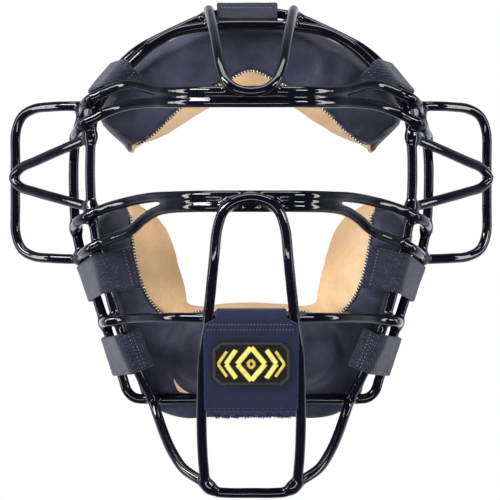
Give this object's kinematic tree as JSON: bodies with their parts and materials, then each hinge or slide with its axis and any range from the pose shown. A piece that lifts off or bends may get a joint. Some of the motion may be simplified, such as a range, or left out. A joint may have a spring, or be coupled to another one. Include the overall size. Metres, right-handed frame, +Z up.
{
  "type": "catcher's mask",
  "caption": "Wire catcher's mask with ear guards, a forehead pad and a chin pad held in the cage by hook-and-loop tabs that fold open.",
  "frame": {"origin": "middle of the plane of the rear wire loop, level with the wearer's nose", "axes": "+Z up, -Y the way the wearer looks, +X the wearer's left; the cage and pads are symmetric about X = 0"},
  "size_m": [0.2736, 0.1368, 0.272],
  "materials": {
    "cage": "steel wire under a thick glossy dark dip",
    "vinyl": "dark coated upholstery vinyl, low sheen",
    "leather": "soft tan leather, matt",
    "foam": "closed-cell foam",
    "webbing": "dark twill webbing",
    "hook": "hook tape",
    "pile": "fuzzy loop pile",
    "emblem": "stitched panel"
  },
  "bodies": {
    "mask": {"brow_bar_lower": "cage", "brow_bar_upper": "cage", "cheek_left_loop_patch": "pile", "cheek_left_tab_base": "webbing", "cheek_right_loop_patch": "pile", "cheek_right_tab_base": "webbing", "chin_loop_patch": "pile", "chin_pad_cover": "vinyl", "chin_pad_foam": "foam", "chin_pad_leather": "leather", "chin_tab_base": "webbing", "ear_brace_left": "cage", "ear_brace_right": "cage", "ear_loop_left": "cage", "ear_loop_right": "cage", "eye_bar_lower": "cage", "eye_bar_upper": "cage", "forehead_bar": "cage", "forehead_pad_cover": "vinyl", "forehead_pad_foam": "foam", "forehead_pad_leather": "leather", "front_loop": "cage", "jaw_bar": "cage", "jaw_left_loop_patch": "pile", "jaw_left_tab_base": "webbing", "jaw_right_loop_patch": "pile", "jaw_right_tab_base": "webbing", "nose_ring": "cage", "rear_loop": "cage", "top_loop_patch": "pile", "top_tab_base": "webbing", "upper_left_loop_patch": "pile", "upper_left_tab_base": "webbing", "upper_right_loop_patch": "pile", "upper_right_tab_base": "webbing"},
    "upper_left_flap": {"upper_left_tab_flap": "webbing", "upper_left_hook_patch": "hook"},
    "upper_right_flap": {"upper_right_tab_flap": "webbing", "upper_right_hook_patch": "hook"},
    "cheek_left_flap": {"cheek_left_tab_flap": "webbing", "cheek_left_hook_patch": "hook"},
    "cheek_right_flap": {"cheek_right_tab_flap": "webbing", "cheek_right_hook_patch": "hook"},
    "jaw_left_flap": {"jaw_left_tab_flap": "webbing", "jaw_left_hook_patch": "hook"},
    "jaw_right_flap": {"jaw_right_tab_flap": "webbing", "jaw_right_hook_patch": "hook"},
    "top_flap": {"top_tab_flap": "webbing", "top_hook_patch": "hook"},
    "chin_flap": {"chin_tab_flap": "webbing", "chin_hook_patch": "hook", "chin_emblem": "emblem"}
  },
  "joints": [
    {"name": "upper_left_hinge", "type": "hinge", "parent": "mask", "child": "upper_left_flap", "pos_m": [-0.07273, -0.03125, 0.0948], "axis": [-0.6624, 0, -0.7492], "range_deg": [0, 120]},
    {"name": "upper_right_hinge", "type": "hinge", "parent": "mask", "child": "upper_right_flap", "pos_m": [0.07273, -0.03125, 0.0948], "axis": [-0.6624, 0, 0.7492], "range_deg": [0, 120]},
    {"name": "cheek_left_hinge", "type": "hinge", "parent": "mask", "child": "cheek_left_flap", "pos_m": [-0.08041, -0.03125, -0.01238], "axis": [0.2378, -0.0036, -0.9713], "range_deg": [0, 120]},
    {"name": "cheek_right_hinge", "type": "hinge", "parent": "mask", "child": "cheek_right_flap", "pos_m": [0.08041, -0.03125, -0.01238], "axis": [0.2378, 0.0036, 0.9713], "range_deg": [0, 120]},
    {"name": "jaw_left_hinge", "type": "hinge", "parent": "mask", "child": "jaw_left_flap", "pos_m": [-0.06639, -0.02691, -0.05736], "axis": [0.3623, 0.2806, -0.8888], "range_deg": [0, 120]},
    {"name": "jaw_right_hinge", "type": "hinge", "parent": "mask", "child": "jaw_right_flap", "pos_m": [0.06639, -0.02691, -0.05736], "axis": [0.3623, -0.2806, 0.8888], "range_deg": [0, 120]},
    {"name": "top_hinge", "type": "hinge", "parent": "mask", "child": "top_flap", "pos_m": [0, -0.00263, 0.13715], "axis": [-1, 0, 0], "range_deg": [0, 150]},
    {"name": "chin_hinge", "type": "hinge", "parent": "mask", "child": "chin_flap", "pos_m": [0, -0.09248, -0.03795], "axis": [-1, 0, 0], "range_deg": [0, 140]}
  ]
}
